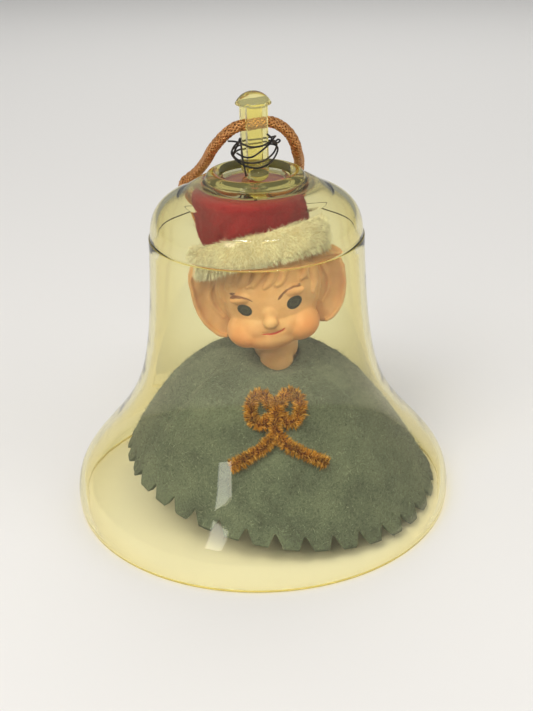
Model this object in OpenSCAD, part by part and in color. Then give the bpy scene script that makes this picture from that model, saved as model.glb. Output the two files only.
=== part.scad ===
// Bell ornament: a clear bell with a felt-caped pixie hung inside it as the clapper.
// Origin: centre of the bell's mouth, in the plane that the rim stands on. +Z up, -Y is the pixie's front.

/* [Bell] */
// Diameter of the bell's rim
rim_d = 76; // [68:1:92]
// Height from the rim to the crown's floor
crown_h = 66.2; // [58:0.2:80]
// Diameter of the bell's straight waist, at the step line
waist_d = 40.9; // [38:0.1:49]
// Thickness of the moulded wall
wall = 1.2; // [1:0.1:1.6]
// How far the upper moulding is set in at the step line
step_in = 0.25; // [0.1:0.05:0.4]
// Diameter over the raised ring on the crown
ring_d = 18.7; // [17:0.1:22]
// Thickness of the raised ring
ring_t = 2.9; // [2.4:0.1:3.4]

/* [Hanger] */
// Height of the hanger above the crown's floor
hanger_h = 16.1; // [13.4:0.1:19.4]
// Width of each leg
leg_w = 3.9; // [3.2:0.1:4.7]
// Thickness of each leg
leg_t = 1.5; // [1.3:0.1:1.8]
// Diameter of the mushroom cap
cap_d = 6.8; // [6.4:0.1:8.2]
// Height of the mushroom cap's dome
cap_h = 2.4; // [2:0.1:2.9]
// Turn of the hanger about the bell's axis
hanger_turn = 15; // [0:1:25]

/* [Cord and wire] */
// Diameter of the braided hanging cord
cord_d = 2.2; // [1.8:0.1:2.6]
// Diameter of the suspension wire
wire_d = 0.5; // [0.4:0.05:0.6]
// Diameter of the blackened tie wire
tie_d = 0.3; // [0.25:0.05:0.4]
// Turns of tie wire wound round the hanger's legs
tie_turns = 3; // [2:1:4]

/* [Pixie] */
// Width of the skull under the hair
skull_d = 18.4; // [16:0.2:20]
// Diameter of the neck
neck_d = 8.6; // [7.4:0.2:9.6]
// Diameter of the felt hat
hat_d = 20.8; // [20:0.2:22.4]
// Height of the hat's top above the head's centre
hat_rise = 20.4; // [20:0.1:22]
// Thickness of the plush trim on the hat
trim_w = 3.8; // [3:0.1:4.6]
// Width of the plush trim on the hat
trim_h = 5.4; // [4.4:0.1:6.4]
// Thickness of the felt
felt_t = 1.1; // [0.8:0.1:1.4]
// Thickness of the card form under the cape
card_t = 0.6; // [0.4:0.1:0.8]
// Depth of the cape's pinked teeth
tooth_h = 2.6; // [2:0.1:3.2]
// Number of pinked teeth
teeth = 36; // [28:1:44]
// Diameter of the chenille stem in the bow
chenille_d = 2.2; // [1.8:0.1:2.6]

/* [Hidden] */
$fn = 72;

seat = 0.05;            // air between two pieces that are glued or seated together
ear_air = 4.2;          // air between the ears' tips and the bell, with the head centred
hat_air = 1.1;          // air between the hat's top and the crown's underside
shoulder_air = chenille_d + 1.9;    // air between the cape's shoulder and the bell, which the bow lies in
hem_air = 3.2;          // air between the cape's hem and the bell, with the cape centred

// Bell
rim_r = rim_d / 2;
waist_r = waist_d / 2;
step_z = crown_h - 10.8;
lip_h = 7.3;
lip_bulge = 0.35;
lip_edge = 0.7;
flare_r = waist_r + 4.55;
flare_z = lip_h + 0.34 * (step_z - lip_h);
crease_r = waist_r - 5.85;
crease_z = crown_h - 2.6;
ring_r = (ring_d - ring_t) / 2;
ceiling_z = crown_h - wall;
crown_edge_r = ring_d / 2 + 0.1;
wire_hole_d = wire_d + 2 * seat;

// Hanger
slot_w = cord_d + 0.6;
leg_h = hanger_h - cap_h;
foot_r = 2;
foot_z = 0.7 * foot_r;
stop_r = 1;

// Pixie
hat_top_z = ceiling_z - hat_air;
head_x = 2.3;
head_y = -1;
head_z = hat_top_z - hat_rise;
head_roll = -8.5;
skull_r = skull_d / 2;
skull_h = 9.4;
crown_r = skull_r + 1;
crown_lift = 2.2;
ear_r = waist_r - wall - ear_air;
chin_z = head_z - 8.6;
neck_x = 3.4;
collar_z = head_z - 12.5;
peg_d = 3.6;
peg_h = 7;
peg_fit = 0.05;
peg_flange = 1.2;
brim_z = 9.4;
brim_pitch = -17;
brim_roll = -5;
brim_h = 3;
band_low = 0.5;

// Cape and bow
cape_x = 1.2;
cape_y = 0.8;
cape_top = collar_z + 0.4;
shoulder_z = cape_top - 7.4;
hem_z = 6.4;
hem_x = 3.4;
hem_tilt = 8.5;
hem_pitch = 3;
hem_low_z = 2;
bow_x = 2.7;
bow_z = collar_z - 8.9;
bow_lift = chenille_d / 2 + seat;
loop_r = 2.6;
pile_sides = 8;

// The cord's route, from the knot up behind the bell, through the hanger's slot and back down.
cord_route = [
    [-1.25, 26.2, 31], [-1.25, 26.2, 32.2], [-2, 24.8, 34], [-3.3, 23.4, 37], [-5, 22.4, 41], [-7, 21.3, 46],
    [-10.8, 19.9, 50.5], [-13, 19, 54.4], [-14.5, 18, 57.9], [-14.4, 16.4, 60.5], [-13.1, 15.5, 61.9],
    [-11.4, 13.6, 63.7], [-9.8, 9.9, 66.4], [-8.9, 6.2, 68.5], [-8.1, 3.2, 70.5], [-7, 1, 72.4],
    [-5.2, -0.5, 74.6], [-3.2, -0.8, 76], [-1.1, -0.3, 76.3], [1.1, 0.3, 76.5], [3.1, 0.8, 76.4],
    [5, 1.4, 75.4], [6.6, 2.4, 73.6], [7.6, 3.6, 71.4], [8, 6, 69.3], [8.3, 8.8, 67.8], [8.5, 11.8, 66.6],
    [8.7, 14.6, 65], [8.7, 17.2, 62.6], [8.3, 19.4, 59.8], [7.3, 20.7, 56], [6.2, 21.3, 51], [5.1, 21.8, 46],
    [4, 22.5, 41], [2.9, 23.5, 37], [2, 24.8, 34], [1.25, 26.2, 32.2], [1.25, 26.2, 31]];
knot_pos = [0, 26.4, 29.7];
knot_r = 2.9;
knot_top = 31;
knot_tail = 7.5;

function unit(v) = v / norm(v);
function rest(list) = [for (i = [1:len(list) - 1]) list[i]];
function reverse(list) = [for (i = [len(list) - 1:-1:0]) list[i]];
function bezier(p, steps) = [for (i = [0:steps]) let (t = i / steps, s = 1 - t)
    s * s * s * p[0] + 3 * s * s * t * p[1] + 3 * s * t * t * p[2] + t * t * t * p[3]];

// The bell's outer line, from the rim up to the crown's edge, as [radius, height].
lip_line = bezier([[rim_r, lip_edge], [rim_r + lip_bulge, 0.45 * lip_h],
    [rim_r - 0.1, 0.77 * lip_h], [rim_r - 1.1, lip_h]], 6);
flare_line = bezier([[rim_r - 1.1, lip_h], [rim_r - 3.6, lip_h + 4.1],
    [flare_r + 3.4, flare_z - 7.3], [flare_r, flare_z]], 14);
waist_line = bezier([[flare_r, flare_z], [flare_r - 2.8, flare_z + 6],
    [waist_r + 0.55, flare_z + 0.45 * (step_z - flare_z)], [waist_r, step_z]], 14);
shoulder_line = bezier([[waist_r - step_in, step_z], [waist_r - step_in - 0.05, step_z + 4.8],
    [crease_r + 3.8, crease_z - 1.6], [crease_r, crease_z]], 12);
lower_line = concat([[rim_r - lip_edge, 0]], lip_line, rest(flare_line), rest(waist_line));
upper_line = concat(shoulder_line, [[crown_edge_r, crown_h]]);

// A line moved inwards by d, square to itself.
function inset(p, d) = [for (i = [0:len(p) - 1])
    let (along = unit(p[min(i + 1, len(p) - 1)] - p[max(i - 1, 0)]))
    p[i] - d * [along[1], -along[0]]];

// The bell's inner wall from below the rim to the crown's floor. The step doesn't show inside.
inner_low = inset(rest(lower_line), wall);
inner_high = inset([for (p = upper_line) if (p[1] > step_z + 1) p], wall);
inner_line = concat([[inner_low[0][0], -1]], inner_low,
    [for (p = inner_high) if (p[0] > crown_edge_r) p], [[crown_edge_r - 0.4 * wall, ceiling_z]]);
function inner_r(z) = lookup(z, [for (p = inner_line) [p[1], p[0]]]);

module bell_shell() color([0.86, 0.80, 0.36, 0.45]) difference() {
    union() {
        rotate_extrude() polygon(concat(lower_line, upper_line, [[0, crown_h], [0, 0]]));
        translate([0, 0, crown_h]) rotate_extrude() translate([ring_r, 0]) circle(d = ring_t, $fn = 32);
    }
    rotate_extrude() polygon(concat(inner_line, [[0, ceiling_z], [0, -1]]));
    translate([0, 0, ceiling_z - 1]) cylinder(d = wire_hole_d, h = wall + 2);
}

// One leg: a flat strap that ends in a rounded foot on the crown's floor.
module leg() {
    translate([-leg_w / 2, slot_w / 2, foot_z]) cube([leg_w, leg_t, leg_h - foot_z]);
    intersection() {
        translate([0, slot_w / 2 + leg_t / 2, foot_z]) sphere(r = foot_r, $fn = 48);
        translate([-foot_r, slot_w / 2, 0]) cube([2 * foot_r, 2 * foot_r, 2 * foot_r]);
    }
}

// A slice of a ball whose flat underside has the cap's diameter.
module mushroom_cap() {
    ball_r = (cap_d * cap_d / 4 + cap_h * cap_h) / (2 * cap_h);
    intersection() {
        translate([0, 0, cap_h - ball_r]) sphere(r = ball_r, $fn = 64);
        cylinder(d = cap_d, h = cap_h);
    }
}

module hanger_post() color([0.82, 0.74, 0.30, 0.55]) translate([0, 0, crown_h + seat]) rotate(hanger_turn) {
    leg();
    rotate(180) leg();
    translate([0, 0, leg_h - seat]) mushroom_cap();
}

// A round tube swept along a route: each ring's frame is carried on from the one before.
function tangents(p) = [for (i = [0:len(p) - 1]) unit(p[min(i + 1, len(p) - 1)] - p[max(i - 1, 0)])];
function carry(n, t) = unit(n - (n * t) * t);
function frames(t) = [for (i = 0, n = carry([0.37, 0.91, 0.17], t[0]); i < len(t);
    i = i + 1, n = i < len(t) ? carry(n, t[i]) : n) n];
module tube(route, r, sides) {
    t = tangents(route);
    n = frames(t);
    points = [for (i = [0:len(route) - 1], k = [0:sides - 1]) let (a = 360 * k / sides)
        route[i] + r * (cos(a) * n[i] + sin(a) * cross(t[i], n[i]))];
    walls = [for (i = [0:len(route) - 2], k = [0:sides - 1]) let (j = (k + 1) % sides)
        [i * sides + j, i * sides + k, (i + 1) * sides + k, (i + 1) * sides + j]];
    ends = [[for (k = [0:sides - 1]) k], [for (k = [sides - 1:-1:0]) (len(route) - 1) * sides + k]];
    polyhedron(points, concat(walls, ends), convexity = 6);
}

module hanging_cord() color([0.66, 0.40, 0.16]) tube(cord_route, cord_d / 2, 8);

// The knot that joins the cord's two ends, with its two short tails.
module cord_knot() color([0.62, 0.37, 0.15]) {
    intersection() {
        translate(knot_pos) sphere(r = knot_r, $fn = 40);
        translate([-knot_r, 0, knot_top - 2 * knot_r]) cube([2 * knot_r, 2 * knot_pos[1], 2 * knot_r]);
    }
    for (side = [-1, 1]) translate(knot_pos + [side * 0.7, 0.4, 0]) rotate([202, side * 12, 0])
        cylinder(d = 0.9 * cord_d, h = knot_r + knot_tail);
}

// The tie wire: a short stub, loose sagging turns round both legs, and a tail to the crown's floor.
function wind(a) = let (s = (a + 150) / (360 * tie_turns))
    [(leg_w / 2 + 2 + 0.3 * sin(0.7 * a)) * cos(a), (slot_w / 2 + leg_t + 0.9 + 0.2 * cos(0.6 * a)) * sin(a),
        crown_h + 7.5 - 3.2 * s + 0.6 * sin(a + 100 * s)];
module tie_wire() color([0.10, 0.10, 0.11]) {
    turns = [for (a = [-150:20:360 * tie_turns - 130]) wind(a)];
    first = turns[0];
    last = turns[len(turns) - 1];
    tube(concat([first + [-0.9, 1, 0.3]], turns, [last + [0.7, 0.1, -0.9], last + [0.8, 0.3, -1.8]]), tie_d / 2, 6);
}

// The wire that the pixie hangs on: it turns in the crown's hole and has a round stop above it.
module suspension_wire() color([0.12, 0.12, 0.13]) {
    translate([0, 0, hat_top_z + seat]) cylinder(d = wire_d, h = crown_h - hat_top_z + 1, $fn = 32);
    translate([0, 0, crown_h + seat]) cylinder(r = stop_r, h = 0.6, $fn = 32);
}

module at_head() translate([head_x, head_y, head_z]) rotate([0, head_roll, 0]) children();
module at_brim() at_head() translate([-0.4, 0.8, brim_z]) rotate([brim_pitch, brim_roll, 0]) children();

// The felt hat: a short straight band under the trim, then a soft crown up to the bell's ceiling.
module hat_shape(r, top, low) hull() {
    at_brim() translate([0, 0, low]) cylinder(r = r, h = brim_h - low, $fn = 48);
    translate([-1.5, 0.4, top - 1.6]) cylinder(r = r, h = 0.1, $fn = 48);
    translate([-1.5, 0.4, top - 0.1]) cylinder(r = r - 2.4, h = 0.1, $fn = 48);
}
module hat_felt() color([0.62, 0.09, 0.10]) difference() {
    hat_shape(hat_d / 2, hat_top_z, band_low);
    hat_shape(hat_d / 2 - felt_t, hat_top_z - felt_t, band_low - 1);
}

module hair(air) at_head() translate([0, 0.8, crown_lift]) sphere(r = crown_r + air, $fn = 56);
module hat_trim() color([0.93, 0.90, 0.78]) difference() {
    at_brim() rotate_extrude() translate([hat_d / 2 + 4 * seat, 0]) {
        for (side = [-1, 1]) translate([trim_w / 2, side * (trim_h - trim_w) / 2]) circle(d = trim_w, $fn = 32);
        translate([0, -(trim_h - trim_w) / 2]) square([trim_w, trim_h - trim_w]);
    }
    hair(seat);
}

// One moulded ear, a thin leaf that stands out from the side of the skull.
module ear() hull() {
    translate([skull_r - 1.6, 0.6, -4.6]) sphere(r = 1.1, $fn = 24);
    translate([skull_r - 1.4, 0.8, 3.6]) sphere(r = 1.1, $fn = 24);
    translate([ear_r - 1.8, 0, -6]) sphere(r = 1, $fn = 24);
    translate([ear_r - 0.8, -0.2, 0]) sphere(r = 0.8, $fn = 24);
    translate([ear_r - 0.9, 0.2, 4.8]) sphere(r = 0.7, $fn = 24);
}

// The moulded head in one piece: face, cheeks, chin, nose, hair, ears and neck, bored for the peg.
module head() color([0.86, 0.58, 0.36]) difference() {
    union() {
        at_head() {
            resize([skull_d, skull_d, 2 * skull_h]) sphere(r = skull_r, $fn = 48);
            for (side = [-1, 1]) translate([side * 5, -5.2, -3.9]) sphere(r = 4.7, $fn = 40);
            translate([0, -6.2, -5.6]) sphere(r = 3.3, $fn = 32);
            translate([0, -10, -1.4]) sphere(r = 1.3, $fn = 24);
            ear();
            mirror([1, 0, 0]) ear();
        }
        hair(0);
        translate([neck_x, 0, collar_z - 1.4]) cylinder(d = neck_d, h = chin_z - collar_z + 4);
    }
    translate([neck_x, 0, collar_z - 2]) cylinder(d = peg_d + 2 * peg_fit, h = peg_h + 0.6);
}

// The turned peg in the neck, with a flange that the neck stands on.
module neck_peg() color([0.80, 0.66, 0.45]) {
    translate([neck_x, 0, collar_z - 1.4 - seat - peg_flange]) cylinder(d = peg_d, h = peg_flange + peg_h);
    translate([neck_x, 0, collar_z - 1.4 - seat - peg_flange]) cylinder(d = neck_d, h = peg_flange);
}

// The cape's outer line, from the top down past the hem, moved in by d, as [radius, height].
shoulder_r = inner_r(shoulder_z) - shoulder_air;
hem_r = inner_r(hem_low_z) - hem_air;
cape_line = concat(
    bezier([[0, cape_top], [0.4 * shoulder_r, cape_top], [0.75 * shoulder_r, shoulder_z + 4.8],
        [shoulder_r, shoulder_z]], 8),
    rest(bezier([[shoulder_r, shoulder_z], [shoulder_r + 4.3, shoulder_z - 4.4],
        [hem_r - 6.6, hem_low_z + 10.2], [hem_r, hem_low_z]], 10)),
    [[hem_r + 1.2, hem_low_z - 3]]);
function cape_inset(d) = [for (i = [0:len(cape_line) - 1])
    let (along = i == 0 ? [1, 0] : unit(cape_line[min(i + 1, len(cape_line) - 1)] - cape_line[i - 1]))
    cape_line[i] + d * [along[1], -along[0]]];
module cape_dome(d) translate([cape_x, cape_y, 0])
    rotate_extrude() polygon(concat(cape_inset(d), [[0, hem_low_z - 3 - 2 * d]]));
module at_hem() translate([hem_x, 0, hem_z]) rotate([hem_pitch, hem_tilt, 0]) children();
module above_hem(lift) at_hem() translate([-rim_d, -rim_d, lift]) cube([2 * rim_d, 2 * rim_d, crown_h]);
module neck_opening() translate([neck_x, 0, collar_z - 4]) cylinder(d = neck_d + 4 * seat, h = 8);

tooth_w = 2 * PI * (hem_r - 2) / teeth;
module pinking() at_hem() for (k = [0:teeth - 1]) rotate(360 * k / teeth)
    translate([hem_r / 2, 0, 0]) rotate([90, 0, 90]) linear_extrude(hem_r)
        polygon([[-0.47 * tooth_w, -0.1], [0.47 * tooth_w, -0.1], [0, tooth_h]]);

module felt_cape() color([0.27, 0.33, 0.22]) difference() {
    intersection() {
        cape_dome(0);
        above_hem(0);
    }
    cape_dome(felt_t);
    neck_opening();
    pinking();
}

// The card form that the felt is glued over: the neck peg's flange is glued under its top.
module body_form() color([0.70, 0.62, 0.48]) difference() {
    intersection() {
        cape_dome(felt_t + seat);
        above_hem(tooth_h + 1);
    }
    cape_dome(felt_t + seat + card_t);
    neck_opening();
}

// A place on the cape's chest, lift away from the felt, at a given sideways place and height.
function chest_r(z) = lookup(z, [for (p = reverse(cape_line)) [p[1], p[0]]]);
function on_chest(x, z, lift) = let (r = chest_r(z) + lift)
    [x, cape_y - sqrt(r * r - (x - cape_x) * (x - cape_x)), z + 0.45 * lift];

// The bow's two loops, bent from one length of chenille stem.
module bow_loops() color([0.72, 0.42, 0.10]) for (side = [-1, 1])
    tube([for (a = [0:30:330]) on_chest(bow_x + side * (loop_r * 1.15 - loop_r * cos(a)),
        bow_z + 4 + loop_r * sin(a), bow_lift + 0.3)], chenille_d / 2, pile_sides);

// The second length of stem, folded over the loops' middle, whose ends hang as the tails.
module bow_tails() color([0.70, 0.40, 0.10]) tube(concat(
    [for (t = [1:-0.25:0.25]) on_chest(bow_x - 8.4 * t, bow_z - 4.4 * t, bow_lift)],
    [on_chest(bow_x, bow_z + 0.4, bow_lift + 0.3)],
    [for (t = [0.25:0.25:1]) on_chest(bow_x + 9.2 * t, bow_z - 4.8 * t, bow_lift)]), chenille_d / 2, pile_sides);

bell_shell();
hanger_post();
tie_wire();
hanging_cord();
cord_knot();
suspension_wire();
hat_felt();
hat_trim();
head();
neck_peg();
body_form();
felt_cape();
bow_loops();
bow_tails();
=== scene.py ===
"""A clear bell ornament with a felt-caped pixie hung inside it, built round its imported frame."""
import math

import bmesh
import bpy
import numpy as np
from mathutils import Matrix, Vector, noise


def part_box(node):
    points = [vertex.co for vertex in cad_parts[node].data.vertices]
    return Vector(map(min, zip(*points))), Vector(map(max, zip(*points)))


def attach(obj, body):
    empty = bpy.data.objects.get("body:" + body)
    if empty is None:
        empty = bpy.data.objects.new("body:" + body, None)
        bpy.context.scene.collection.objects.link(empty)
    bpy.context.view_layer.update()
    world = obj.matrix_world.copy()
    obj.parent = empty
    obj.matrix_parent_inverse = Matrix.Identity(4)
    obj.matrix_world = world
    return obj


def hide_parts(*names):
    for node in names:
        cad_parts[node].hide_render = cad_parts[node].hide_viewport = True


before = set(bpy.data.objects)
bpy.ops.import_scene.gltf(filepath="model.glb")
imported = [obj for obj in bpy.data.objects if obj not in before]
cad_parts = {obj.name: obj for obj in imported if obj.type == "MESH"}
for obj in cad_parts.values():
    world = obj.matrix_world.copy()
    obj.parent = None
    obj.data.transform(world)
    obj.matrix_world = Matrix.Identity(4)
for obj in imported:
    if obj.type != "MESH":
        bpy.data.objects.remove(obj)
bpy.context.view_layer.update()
MM = 0.001


# ---------------------------------------------------------------- camera, floor and light
# The camera stands a hand's breadth above the bell and looks down at it, turned a little about its own axis.
camera_data = bpy.data.cameras.new("camera")
camera_data.sensor_width = 36
camera_data.lens = 57.5
camera_data.clip_start = 0.005
camera = bpy.data.objects.new("camera", camera_data)
pitch = math.radians(25.65)
roll = math.radians(-1.36)
look = Vector((0, math.cos(pitch), -math.sin(pitch)))
level = Vector((1, 0, 0))
upward = level.cross(look)
across = level * math.cos(roll) + upward * math.sin(roll)
overhead = upward * math.cos(roll) - level * math.sin(roll)
camera.matrix_world = Matrix.Translation(Vector((1.33, -204.27, 127.64)) * MM) @ Matrix(
    (across, overhead, -look)).transposed().to_4x4()
bpy.context.collection.objects.link(camera)
bpy.context.scene.camera = camera

# A plain pale floor that runs out of sight, under a soft white room.
floor_mesh = bpy.data.meshes.new("floor")
floor_form = bmesh.new()
bmesh.ops.create_circle(floor_form, cap_ends=True, segments=96, radius=2.5)
floor_form.to_mesh(floor_mesh)
floor = bpy.data.objects.new("floor", floor_mesh)
floor.location.z = -0.0001
bpy.context.collection.objects.link(floor)
floor_paint = bpy.data.materials.new("pale_floor")
floor_paint.use_nodes = True
floor_shader = floor_paint.node_tree.nodes["Principled BSDF"]
floor_shader.inputs["Base Color"].default_value = (0.84, 0.81, 0.765, 1)
floor_shader.inputs["Roughness"].default_value = 0.85
floor_shader.inputs["Specular IOR Level"].default_value = 0.15
floor_mesh.materials.append(floor_paint)

world = bpy.data.worlds.new("room")
world.use_nodes = True
world.node_tree.nodes["Background"].inputs["Color"].default_value = (0.93, 0.96, 1.0, 1)
world.node_tree.nodes["Background"].inputs["Strength"].default_value = 0.36
bpy.context.scene.world = world
bpy.context.scene.view_settings.view_transform = "Standard"


def soft_light(name, place, aim, width, height, power, colour=(1, 1, 1), mirrored=True):
    """An area light at place, in millimetres, that faces aim. One that isn't mirrored shows in no gloss."""
    lamp = bpy.data.lights.new(name, "AREA")
    lamp.shape = "RECTANGLE"
    lamp.size = width * MM
    lamp.size_y = height * MM
    lamp.energy = power
    lamp.color = colour
    lit = bpy.data.objects.new(name, lamp)
    lit.location = Vector(place) * MM
    lit.rotation_euler = (Vector(aim) - Vector(place)).to_track_quat("-Z", "Y").to_euler()
    lit.visible_glossy = mirrored
    lit.visible_transmission = mirrored
    bpy.context.collection.objects.link(lit)


bell_middle = (0, 0, 38)
soft_light("key", (-300, -380, 560), bell_middle, 340, 340, 2.5, (1.0, 0.985, 0.96), mirrored=False)
soft_light("fill", (520, -300, 380), bell_middle, 500, 400, 0.95, (0.97, 0.98, 1.0), mirrored=False)
soft_light("back", (60, 560, 420), bell_middle, 700, 300, 1.1, (0.98, 0.99, 1.0), mirrored=False)
soft_light("window", (-300, -500, 430), bell_middle, 110, 170, 0.24)
soft_light("left_tube", (-150, -420, 560), bell_middle, 190, 16, 0.55)
soft_light("right_tube", (150, -430, 560), bell_middle, 190, 16, 0.50)


# ---------------------------------------------------------------- hanging cord
# A copper-gold metallic braid, tied in a loop through the hanger and knotted behind the bell.
# Eight yarns run each way round a dark core, each over two and under two of the others.
cord_d = 2.2
cord_route = [
    (-1.25, 26.2, 31), (-1.25, 26.2, 32.2), (-2, 24.8, 34), (-3.3, 23.4, 37), (-5, 22.4, 41), (-7, 21.3, 46),
    (-10.8, 19.9, 50.5), (-13, 19, 54.4), (-14.5, 18, 57.9), (-14.4, 16.4, 60.5), (-13.1, 15.5, 61.9),
    (-11.4, 13.6, 63.7), (-9.8, 9.9, 66.4), (-8.9, 6.2, 68.5), (-8.1, 3.2, 70.5), (-7, 1, 72.4),
    (-5.2, -0.5, 74.6), (-3.2, -0.8, 76), (-1.1, -0.3, 76.3), (1.1, 0.3, 76.5), (3.1, 0.8, 76.4),
    (5, 1.4, 75.4), (6.6, 2.4, 73.6), (7.6, 3.6, 71.4), (8, 6, 69.3), (8.3, 8.8, 67.8), (8.5, 11.8, 66.6),
    (8.7, 14.6, 65), (8.7, 17.2, 62.6), (8.3, 19.4, 59.8), (7.3, 20.7, 56), (6.2, 21.3, 51), (5.1, 21.8, 46),
    (4, 22.5, 41), (2.9, 23.5, 37), (2, 24.8, 34), (1.25, 26.2, 32.2), (1.25, 26.2, 31)]


def smooth_line(points, step, closed=False):
    """Points every step along a smooth curve through the given ones."""
    p = [np.array(q, float) for q in points]
    n = len(p)
    spans = n if closed else n - 1
    dense = []
    for i in range(spans):
        a = p[(i - 1) % n] if closed or i > 0 else 2 * p[0] - p[1]
        b = p[i]
        c = p[(i + 1) % n]
        d = p[(i + 2) % n] if closed or i + 2 < n else 2 * p[-1] - p[-2]
        for t in np.linspace(0, 1, 12, endpoint=False):
            dense.append(0.5 * (2 * b + (c - a) * t + (2 * a - 5 * b + 4 * c - d) * t ** 2
                                + (3 * b - a - 3 * c + d) * t ** 3))
    dense.append(p[0] if closed else p[-1])
    dense = np.array(dense)
    along = np.concatenate([[0], np.cumsum(np.linalg.norm(np.diff(dense, axis=0), axis=1))])
    marks = np.linspace(0, along[-1], max(3, int(round(along[-1] / step)) + 1))
    return np.stack([np.interp(marks, along, dense[:, k]) for k in range(3)], -1)


def carried_frames(line):
    """For each point of a line: its direction and two square ones, carried along with no twist."""
    ahead = np.gradient(line, axis=0)
    ahead /= np.linalg.norm(ahead, axis=1)[:, None]
    side = np.zeros_like(ahead)
    first = np.array([0.37, 0.91, 0.17])
    for i, t in enumerate(ahead):
        first = first - t * first.dot(t)
        first /= np.linalg.norm(first)
        side[i] = first
    return ahead, side, np.cross(ahead, side)


def tube_mesh(line, radius, sides, flat=1.0, facing=None, capped=True):
    """Vertices and faces of a tube along a line. radius is one value or one for each point, flat squashes
    the section across facing, the outward direction at each point."""
    ahead, side, other = carried_frames(line)
    if facing is not None:
        other = facing - ahead * np.sum(facing * ahead, axis=1)[:, None]
        other /= np.linalg.norm(other, axis=1)[:, None]
        side = np.cross(other, ahead)
    radius = np.broadcast_to(radius, len(line))
    angles = np.arange(sides) * 2 * math.pi / sides
    rings = (line[:, None, :] + radius[:, None, None] * (
        side[:, None, :] * np.cos(angles)[None, :, None] + flat * other[:, None, :] * np.sin(angles)[None,
                :, None]))
    vertices = rings.reshape(-1, 3)
    faces = [(i * sides + k, i * sides + (k + 1) % sides, (i + 1) * sides + (k + 1) % sides,
              (i + 1) * sides + k)
             for i in range(len(line) - 1) for k in range(sides)]
    if capped:
        faces.append(tuple(range(sides - 1, -1, -1)))
        faces.append(tuple((len(line) - 1) * sides + k for k in range(sides)))
    return vertices, faces


def joined(parts):
    """One list of vertices and one of faces from several, with the part each face came from."""
    vertices, faces, owner = [], [], []
    start = 0
    for index, (some_vertices, some_faces) in enumerate(parts):
        vertices.append(np.asarray(some_vertices))
        faces.extend(tuple(v + start for v in face) for face in some_faces)
        owner.extend([index] * len(some_faces))
        start += len(some_vertices)
    return np.concatenate(vertices), faces, owner


def new_piece(name, vertices, faces, materials=(), face_material=None, smooth=True):
    """A mesh object from vertices in millimetres."""
    mesh = bpy.data.meshes.new(name)
    mesh.from_pydata((np.asarray(vertices) * MM).tolist(), [], [list(f) for f in faces])
    for material in materials:
        mesh.materials.append(material)
    if face_material is not None:
        mesh.polygons.foreach_set("material_index", face_material)
    mesh.polygons.foreach_set("use_smooth", [smooth] * len(mesh.polygons))
    mesh.validate()
    mesh.update()
    piece = bpy.data.objects.new(name, mesh)
    bpy.context.collection.objects.link(piece)
    return piece


def braid(line, across, yarns=8, flare=None):
    """The core and the yarns of a braid of diameter across along a line."""
    ahead, side, other = carried_frames(line)
    step = np.linalg.norm(line[1] - line[0])
    turn = np.arange(len(line)) * step / (0.5 * across)
    parts = [tube_mesh(line, 0.37 * across, 10)]
    for way in (1, -1):
        for yarn in range(yarns):
            angle = 2 * math.pi * yarn / yarns + way * turn
            lift = 0.405 * across + way * 0.035 * across * np.cos(0.5 * yarns * turn - math.pi / 4)
            if flare is not None:
                lift = lift * flare
            out = side * np.cos(angle)[:, None] + other * np.sin(angle)[:, None]
            parts.append(tube_mesh(line + out * lift[:, None], 0.098 * across, 6, 0.55, out))
    return parts


def fresh_finish(name):
    """A new material, with its nodes, its links and its one shader."""
    material = bpy.data.materials.new(name)
    material.use_nodes = True
    nodes = material.node_tree.nodes
    return material, nodes, material.node_tree.links, nodes["Principled BSDF"]


def placed(nodes, kind, levels):
    """A new node of a kind, with its sockets set to these levels."""
    node = nodes.new(kind)
    for socket, level in levels.items():
        node.inputs[socket].default_value = level
    return node


def shaded(ramp, low, low_colour, high, high_colour):
    """Set a two-stop ramp from one colour at a low place to another at a high one."""
    for stop, place, colour in zip(ramp.color_ramp.elements, (low, high), (low_colour, high_colour)):
        stop.position = place
        stop.color = colour


def metal_yarn(name, bright, deep, shine):
    """Metallic yarn: fine foil filaments that catch the light in short glints."""
    material, nodes, links, shader = fresh_finish(name)
    place = nodes.new("ShaderNodeTexCoord")
    glint = placed(nodes, "ShaderNodeTexNoise", {"Scale": 2600, "Detail": 3})
    links.new(place.outputs["Object"], glint.inputs["Vector"])
    tone = nodes.new("ShaderNodeValToRGB")
    shaded(tone, 0.34, (*deep, 1), 0.66, (*bright, 1))
    links.new(glint.outputs["Fac"], tone.inputs["Fac"])
    links.new(tone.outputs["Color"], shader.inputs["Base Color"])
    rough = placed(nodes, "ShaderNodeMapRange", {
        "From Min": 0.3, "From Max": 0.7, "To Min": 0.5, "To Max": 0.24})
    links.new(glint.outputs["Fac"], rough.inputs["Value"])
    links.new(rough.outputs["Result"], shader.inputs["Roughness"])
    bump = placed(nodes, "ShaderNodeBump", {"Strength": 0.5, "Distance": 0.00006})
    links.new(glint.outputs["Fac"], bump.inputs["Height"])
    links.new(bump.outputs["Normal"], shader.inputs["Normal"])
    shader.inputs["Metallic"].default_value = shine
    return material


copper_yarn = metal_yarn("copper_gold_yarn", (0.86, 0.45, 0.17), (0.50, 0.20, 0.06), 0.8)
core_yarn = metal_yarn("dark_core_yarn", (0.16, 0.05, 0.025), (0.07, 0.02, 0.012), 0.1)

cord_line = smooth_line(cord_route, 0.27)
cord_parts = braid(cord_line, cord_d)
cord_vertices, cord_faces, cord_owner = joined(cord_parts)
cord_piece = new_piece("cord_braid", cord_vertices, cord_faces, (core_yarn, copper_yarn),
                       [min(owner, 1) for owner in cord_owner])

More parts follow.
